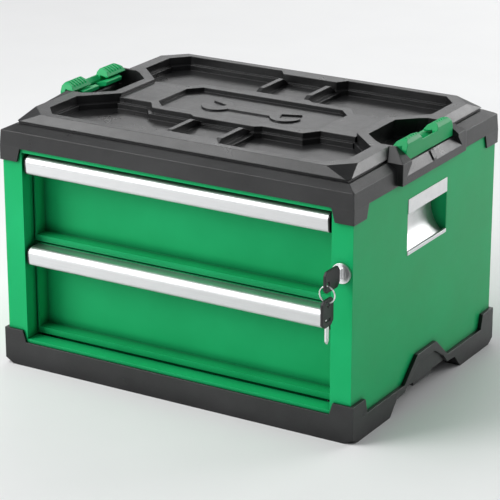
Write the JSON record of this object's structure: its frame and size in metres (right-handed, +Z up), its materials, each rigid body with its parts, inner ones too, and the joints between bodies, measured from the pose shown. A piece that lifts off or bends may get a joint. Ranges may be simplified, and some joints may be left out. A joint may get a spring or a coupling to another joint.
{
  "type": "tool box",
  "caption": "Stackable steel tool box with drawers, moulded tray cover, side latches, recessed hand grips, drawer pulls, and a key lock with a hanging spare key.",
  "frame": {"origin": "centre of the resting face under the base tray", "axes": "+X to the right seen from the drawer side, along the width; -Y out of the drawer fronts; +Z up"},
  "size_m": [0.516, 0.4288, 0.3425],
  "materials": {
    "green_paint": "semi-gloss powder coat",
    "green_plastic": "satin moulded plastic",
    "black_plastic": "fine textured moulded plastic",
    "black_trim": "satin moulded plastic",
    "mat_rubber": "ribbed mat",
    "aluminium": "satin anodised",
    "chrome": "polished",
    "zinc": "zinc plated"
  },
  "bodies": {
    "cabinet": {"top_cover": "black_plastic", "base_tray": "black_plastic", "left_side_panel": "green_paint", "right_side_panel": "green_paint", "back_panel": "green_paint", "top_deck": "green_paint", "bottom_deck": "green_paint", "front_header": "green_paint", "front_sill": "green_paint", "left_inner_wall": "green_paint", "right_inner_wall": "green_paint", "left_hand_scoop": "aluminium", "right_hand_scoop": "aluminium", "left_scoop_cheeks": "green_paint", "right_scoop_cheeks": "green_paint", "left_latch_pin": "zinc", "right_latch_pin": "zinc", "left_latch_spring": "zinc", "right_latch_spring": "zinc", "upper_left_rail": "zinc", "upper_right_rail": "zinc", "lower_left_rail": "zinc", "lower_right_rail": "zinc", "lock_housing": "chrome", "lock_nut": "zinc", "lock_bar_guides": "black_trim", "cover_screws": "zinc", "base_screws": "zinc", "back_rivets": "zinc", "rail_rivets": "zinc"},
    "upper_drawer": {"upper_drawer_pan": "green_paint", "upper_drawer_front": "green_paint", "upper_handle": "aluminium", "upper_handle_caps": "black_trim", "upper_drawer_mat": "mat_rubber", "upper_drawer_runners": "zinc", "upper_drawer_catch": "zinc", "upper_handle_screws": "zinc"},
    "lower_drawer": {"lower_drawer_pan": "green_paint", "lower_drawer_front": "green_paint", "lower_handle": "aluminium", "lower_handle_caps": "black_trim", "lower_drawer_mat": "mat_rubber", "lower_drawer_runners": "zinc", "lower_drawer_catch": "zinc", "lower_handle_screws": "zinc"},
    "upper_middle_runner_pair": {"upper_middle_runners": "zinc"},
    "lower_middle_runner_pair": {"lower_middle_runners": "zinc"},
    "lock_rotor": {"lock_plug": "chrome", "lock_cam": "zinc", "cam_screw": "zinc", "key_grip": "black_trim", "key_blade": "chrome"},
    "locking_bar": {"lock_bar": "zinc"},
    "ring": {"key_ring": "chrome"},
    "spare_key": {"spare_key_grip": "black_trim", "spare_key_blade": "chrome"},
    "left_catch": {"left_latch": "green_plastic"},
    "right_catch": {"right_latch": "green_plastic"}
  },
  "joints": [
    {"name": "upper_drawer_slide", "type": "slide", "parent": "cabinet", "child": "upper_drawer", "axis": [0, -1, 0], "range_m": [0, 0.27]},
    {"name": "lower_drawer_slide", "type": "slide", "parent": "cabinet", "child": "lower_drawer", "axis": [0, -1, 0], "range_m": [0, 0.27]},
    {"name": "upper_runner_slide", "type": "slide", "parent": "cabinet", "child": "upper_middle_runner_pair", "axis": [0, -1, 0], "range_m": [0, 0.135]},
    {"name": "lower_runner_slide", "type": "slide", "parent": "cabinet", "child": "lower_middle_runner_pair", "axis": [0, -1, 0], "range_m": [0, 0.135]},
    {"name": "lock_turn", "type": "hinge", "parent": "cabinet", "child": "lock_rotor", "pos_m": [0.2345, -0.19, 0.2135], "axis": [0, -1, 0], "range_deg": [0, 90]},
    {"name": "locking_bar_lift", "type": "slide", "parent": "cabinet", "child": "locking_bar", "axis": [0, 0, 1], "range_m": [0, 0.012]},
    {"name": "key_ring_swing", "type": "hinge", "parent": "lock_rotor", "child": "ring", "pos_m": [0.2345, -0.2235, 0.20805], "axis": [1, 0, 0], "range_deg": [-45, 8]},
    {"name": "spare_key_swing", "type": "hinge", "parent": "ring", "child": "spare_key", "pos_m": [0.2345, -0.2235, 0.18805], "axis": [1, 0, 0], "range_deg": [-40, 8]},
    {"name": "left_latch_tilt", "type": "hinge", "parent": "cabinet", "child": "left_catch", "pos_m": [-0.243, 0, 0.321], "axis": [0, -1, 0], "range_deg": [0, 30], "stiffness_Nm_per_rad": 0.08, "springref_deg": -17.19},
    {"name": "right_latch_tilt", "type": "hinge", "parent": "cabinet", "child": "right_catch", "pos_m": [0.243, 0, 0.321], "axis": [0, 1, 0], "range_deg": [0, 30], "stiffness_Nm_per_rad": 0.08, "springref_deg": -17.19}
  ],
  "couplings": [
    {"joint": "upper_runner_slide", "follows": "upper_drawer_slide", "ratio": 0.5},
    {"joint": "lower_runner_slide", "follows": "lower_drawer_slide", "ratio": 0.5},
    {"joint": "lock_turn", "follows": "locking_bar_lift", "rad_per_m": 130.9}
  ]
}
